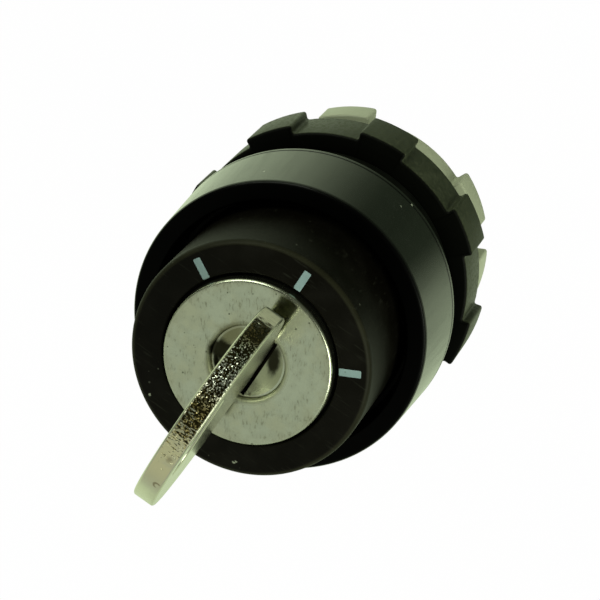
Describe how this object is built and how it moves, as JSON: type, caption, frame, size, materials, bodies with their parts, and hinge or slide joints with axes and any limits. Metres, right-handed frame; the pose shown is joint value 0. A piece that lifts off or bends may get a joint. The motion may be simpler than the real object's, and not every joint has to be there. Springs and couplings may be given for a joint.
{
  "type": "key switch",
  "caption": "Panel key switch head: flat key in a round lock, raised collar with position marks, dark bezel, gasket, tabbed ring nut and lugged coupling ring.",
  "frame": {"origin": "on the switch axis in the plane of the panel seat, the rear face of the panel gasket", "axes": "+Z along the switch axis out of the front, +Y towards the middle position mark"},
  "size_m": [0.0322, 0.0322, 0.0692],
  "materials": {
    "bezel": "satin",
    "front_collar": "satin",
    "position_marks": "matt",
    "body": "satin",
    "panel_gasket": "matt",
    "collar_seal": "matt",
    "lock_housing": "satin nickel",
    "lock_seal": "matt",
    "lock_nut": "plain",
    "lock_plug": "satin nickel",
    "wafers": "plain",
    "wafer_springs": "plain",
    "plug_clip": "plain",
    "key": "worn nickel",
    "cam": "natural",
    "cam_washer": "zinc",
    "cam_screw": "zinc",
    "push_rod_left": "natural",
    "push_rod_right": "natural",
    "rod_spring_left": "plain",
    "rod_spring_right": "plain",
    "guide_plate": "natural",
    "plate_clip": "plain",
    "fixing_nut": "matt",
    "coupling_ring": "natural",
    "ring_clip": "plain"
  },
  "bodies": {
    "housing": {"bezel": "bezel", "front_collar": "front_collar", "position_marks": "position_marks", "body": "body", "panel_gasket": "panel_gasket", "collar_seal": "collar_seal", "lock_housing": "lock_housing", "lock_seal": "lock_seal", "lock_nut": "lock_nut", "rod_spring_left": "rod_spring_left", "rod_spring_right": "rod_spring_right", "guide_plate": "guide_plate", "plate_clip": "plate_clip", "ring_clip": "ring_clip"},
    "plug": {"lock_plug": "lock_plug", "wafers": "wafers", "wafer_springs": "wafer_springs", "plug_clip": "plug_clip", "cam": "cam", "cam_washer": "cam_washer", "cam_screw": "cam_screw"},
    "key": {"key": "key"},
    "rod_left": {"push_rod_left": "push_rod_left"},
    "rod_right": {"push_rod_right": "push_rod_right"},
    "nut": {"fixing_nut": "fixing_nut"},
    "ring": {"coupling_ring": "coupling_ring"}
  },
  "joints": [
    {"name": "key_turn", "type": "hinge", "parent": "housing", "child": "plug", "pos_m": [0, 0, 0.02], "axis": [0, 0, 1], "range_deg": [-60, 60]},
    {"name": "key_slide", "type": "slide", "parent": "plug", "child": "key", "axis": [0, 0, 1], "range_m": [0, 0.023]},
    {"name": "rod_left_slide", "type": "slide", "parent": "housing", "child": "rod_left", "axis": [0, 0, 1], "range_m": [-0.0022, 0.0022], "deforming": ["rod_spring_left"]},
    {"name": "rod_right_slide", "type": "slide", "parent": "housing", "child": "rod_right", "axis": [0, 0, 1], "range_m": [-0.0022, 0.0022], "deforming": ["rod_spring_right"]},
    {"name": "nut_turn", "type": "hinge", "parent": "housing", "child": "nut", "pos_m": [0, 0, -0.003], "axis": [0, 0, 1], "continuous": true},
    {"name": "ring_turn", "type": "hinge", "parent": "housing", "child": "ring", "pos_m": [0, 0, -0.0134], "axis": [0, 0, 1], "range_deg": [0, 36]}
  ],
  "couplings": [
    {"joint": "key_turn", "follows": "rod_left_slide", "rad_per_m": 476},
    {"joint": "rod_right_slide", "follows": "rod_left_slide", "ratio": -1}
  ]
}
